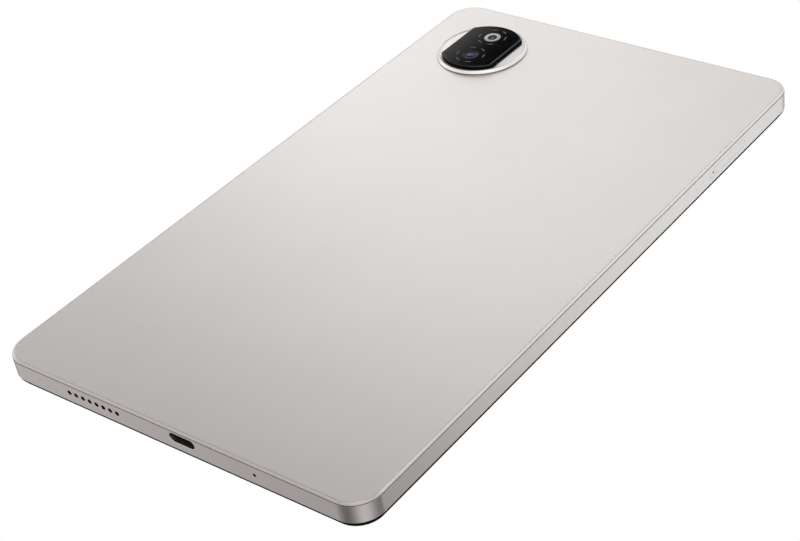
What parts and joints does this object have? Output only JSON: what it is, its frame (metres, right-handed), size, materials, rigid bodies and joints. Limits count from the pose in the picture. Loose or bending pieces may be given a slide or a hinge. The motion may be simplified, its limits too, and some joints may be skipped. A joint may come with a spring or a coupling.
{
  "type": "tablet computer",
  "caption": "Slim metal-backed tablet computer lying screen down, with a raised round camera ring in one corner, port and speaker holes in one short side and a card tray in one long side.",
  "frame": {"origin": "middle of the screen glass, on its outer face, which the tablet rests on", "axes": "+Y along the long side towards the camera end, +X across towards the card tray side, +Z out of the back"},
  "size_m": [0.1252, 0.2118, 0.0101],
  "materials": {
    "housing_metal": "fine satin anodised",
    "ring_metal": "polished edge, finely brushed face",
    "black_plastic": "fine matt",
    "screen_glass": "gloss, black from behind",
    "camera_window_glass": "gloss, black printed",
    "lens_glass": "coated, blue sheen",
    "flash_plastic": "clear moulded, faceted",
    "stamped_steel": "stamped, satin",
    "socket_steel": "drawn tube, satin",
    "circuit_board": "solder mask",
    "flex_circuit": "polyimide film",
    "chip_black": "moulded epoxy",
    "battery_pouch": "foil pouch",
    "backlight_white": "diffusing film",
    "acoustic_mesh": "woven"
  },
  "bodies": {
    "tablet": {"rear_housing": "housing_metal", "cover_glass": "screen_glass", "display_frame": "black_plastic", "lcd_panel": "screen_glass", "backlight_unit": "backlight_white", "display_plate": "stamped_steel", "camera_ring": "ring_metal", "camera_bezel": "black_plastic", "camera_glass": "camera_window_glass", "rear_camera_body": "chip_black", "camera_sensor": "chip_black", "flash_led": "flash_plastic", "flash_lens": "flash_plastic", "mainboard": "circuit_board", "processor_shield": "stamped_steel", "processor": "chip_black", "memory_chip": "chip_black", "radio_shield": "stamped_steel", "display_connector": "chip_black", "battery_connector": "chip_black", "display_flex": "flex_circuit", "main_flex": "flex_circuit", "battery_cell_left": "battery_pouch", "battery_cell_right": "battery_pouch", "battery_protection_board": "circuit_board", "battery_flex": "flex_circuit", "usb_c_shell": "socket_steel", "usb_c_tongue": "black_plastic", "port_board": "circuit_board", "port_flex_connector": "chip_black", "speaker_bottom": "black_plastic", "speaker_top": "black_plastic", "speaker_mesh_bottom": "acoustic_mesh", "speaker_mesh_top": "acoustic_mesh", "microphone_bottom": "stamped_steel", "microphone_top": "stamped_steel", "antenna_bottom": "flex_circuit", "antenna_top": "flex_circuit", "front_camera": "chip_black", "card_reader": "stamped_steel", "eject_pivot": "stamped_steel", "dome_switch_power": "stamped_steel", "dome_switch_volume_up": "stamped_steel", "dome_switch_volume_down": "stamped_steel", "side_key_flex": "flex_circuit", "side_key_bracket": "stamped_steel", "board_screw_1": "stamped_steel", "board_screw_2": "stamped_steel", "board_screw_3": "stamped_steel", "board_screw_4": "stamped_steel", "board_screw_5": "stamped_steel", "port_screw_1": "stamped_steel", "port_screw_2": "stamped_steel"},
    "power_button": {"power_button": "housing_metal"},
    "volume_key": {"volume_key": "housing_metal"},
    "card_tray": {"card_tray": "housing_metal"},
    "eject_rod": {"eject_rod": "stamped_steel"},
    "eject_lever": {"eject_lever": "stamped_steel"},
    "focus_lens": {"lens_barrel": "black_plastic", "lens_element": "lens_glass"}
  },
  "joints": [
    {"name": "power_press", "type": "slide", "parent": "tablet", "child": "power_button", "axis": [1, 0, 0], "range_m": [0, 0.0003], "stiffness_N_per_m": 400},
    {"name": "volume_rock", "type": "hinge", "parent": "tablet", "child": "volume_key", "pos_m": [-0.0616, 0.062, 0.00475], "axis": [0, 0, 1], "range_deg": [-1.4, 1.4], "stiffness_Nm_per_rad": 0.02},
    {"name": "tray_slide", "type": "slide", "parent": "tablet", "child": "card_tray", "axis": [1, 0, 0], "range_m": [0, 0.018]},
    {"name": "eject_push", "type": "slide", "parent": "tablet", "child": "eject_rod", "axis": [-1, 0, 0], "range_m": [0, 0.0012]},
    {"name": "eject_pivot_turn", "type": "hinge", "parent": "tablet", "child": "eject_lever", "pos_m": [0.0454, 0.061, 0.0047], "axis": [0, 0, 1], "range_deg": [-16.5, 0]},
    {"name": "focus_slide", "type": "slide", "parent": "tablet", "child": "focus_lens", "axis": [0, 0, 1], "range_m": [0, 0.0003], "stiffness_N_per_m": 100}
  ],
  "couplings": [
    {"joint": "eject_pivot_turn", "follows": "eject_push", "rad_per_m": -238.1}
  ]
}
